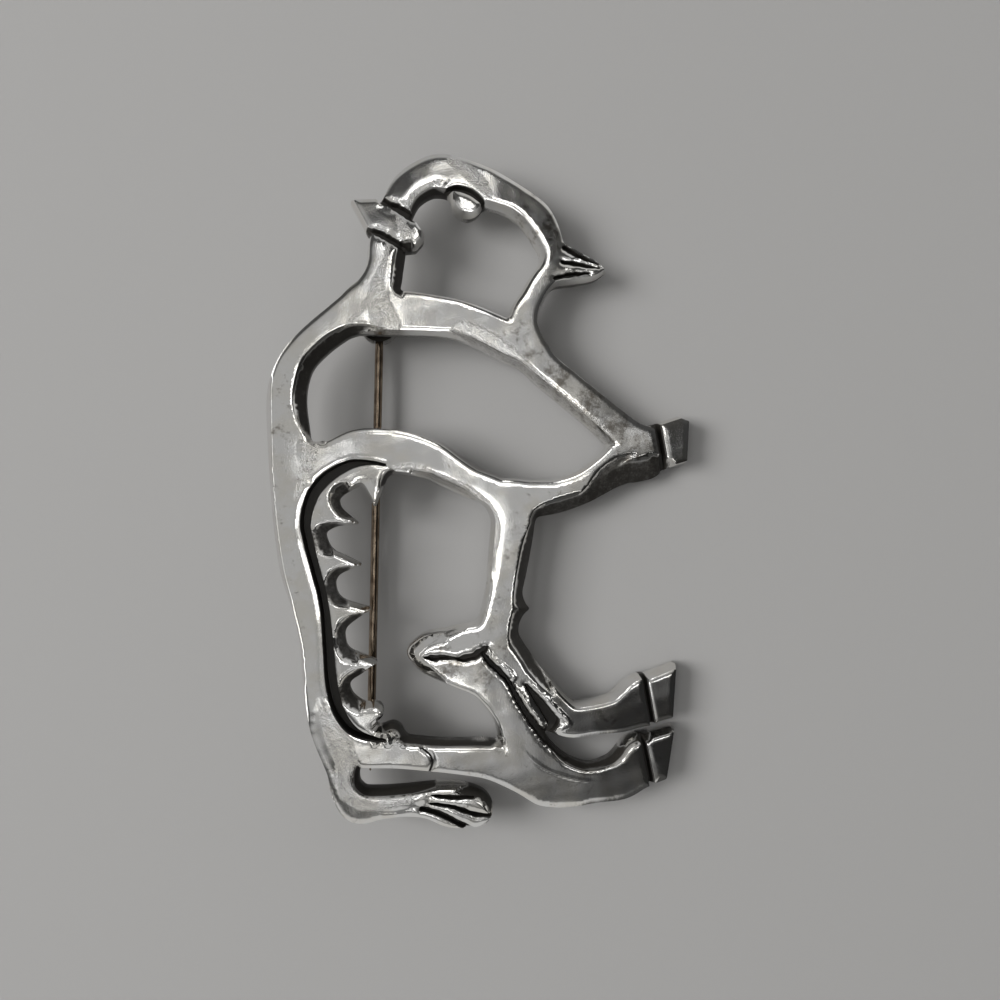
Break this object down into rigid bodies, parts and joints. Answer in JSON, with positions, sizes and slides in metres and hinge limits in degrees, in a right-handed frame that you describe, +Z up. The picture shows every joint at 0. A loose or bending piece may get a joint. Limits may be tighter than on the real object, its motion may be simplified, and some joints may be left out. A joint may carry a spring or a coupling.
{
  "type": "bison brooch",
  "caption": "Openwork cast silver brooch of a standing bison in profile, with a sprung steel pin on its back.",
  "frame": {"origin": "middle of the overall box, at the height of the surface the brooch lies on", "axes": "+Y from the tail to the crown of the head, +X from the back of the bison to its hooves, +Z up out of the face as the brooch lies face up"},
  "size_m": [0.045, 0.0716, 0.008],
  "materials": {
    "silver": "worn sterling silver, oxidised in the recesses",
    "steel": "drawn steel wire",
    "nickel_silver": "cut rivet wire"
  },
  "bodies": {
    "brooch": {"bison_casting": "silver", "joint_rivet": "nickel_silver"},
    "pin": {"pin_stem": "steel"}
  },
  "joints": [
    {"name": "pin_hinge", "type": "hinge", "parent": "brooch", "child": "pin", "pos_m": [-0.01151, 0.0182, 0.00211], "axis": [0.9928, -0.0209, -0.118], "range_deg": [0, 110]}
  ]
}
